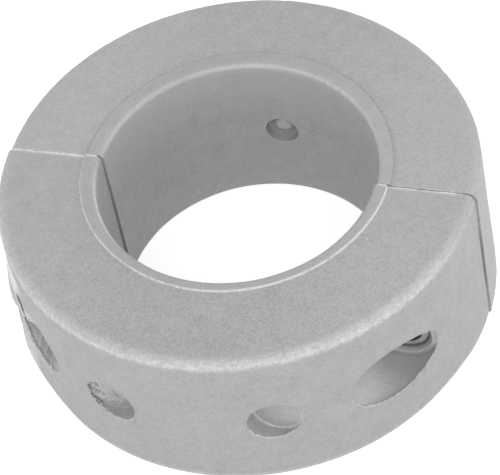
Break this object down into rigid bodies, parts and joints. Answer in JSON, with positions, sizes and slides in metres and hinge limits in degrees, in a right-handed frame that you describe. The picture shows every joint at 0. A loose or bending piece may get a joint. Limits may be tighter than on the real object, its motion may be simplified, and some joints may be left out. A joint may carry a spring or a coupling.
{
  "type": "split shaft collar anode",
  "caption": "Split ring sacrificial anode that clamps round a propeller shaft, cast in halves that sunk socket head screws draw together.",
  "frame": {"origin": "on the shaft's axis, at the ring's bottom face", "axes": "+Z along the shaft's axis towards the face with the raised band, +X along the split from the left screw to the right screw, +Y from the front half to the rear half"},
  "size_m": [0.103, 0.103, 0.04],
  "materials": {
    "cast_zinc": "as cast, fine sandy grain",
    "screw_steel": "stainless, dull",
    "nut_steel": "zinc plated"
  },
  "bodies": {
    "root": {"front_half": "cast_zinc", "rear_half": "cast_zinc", "left_screw": "screw_steel", "right_screw": "screw_steel", "left_nut": "nut_steel", "right_nut": "nut_steel"}
  },
  "joints": []
}
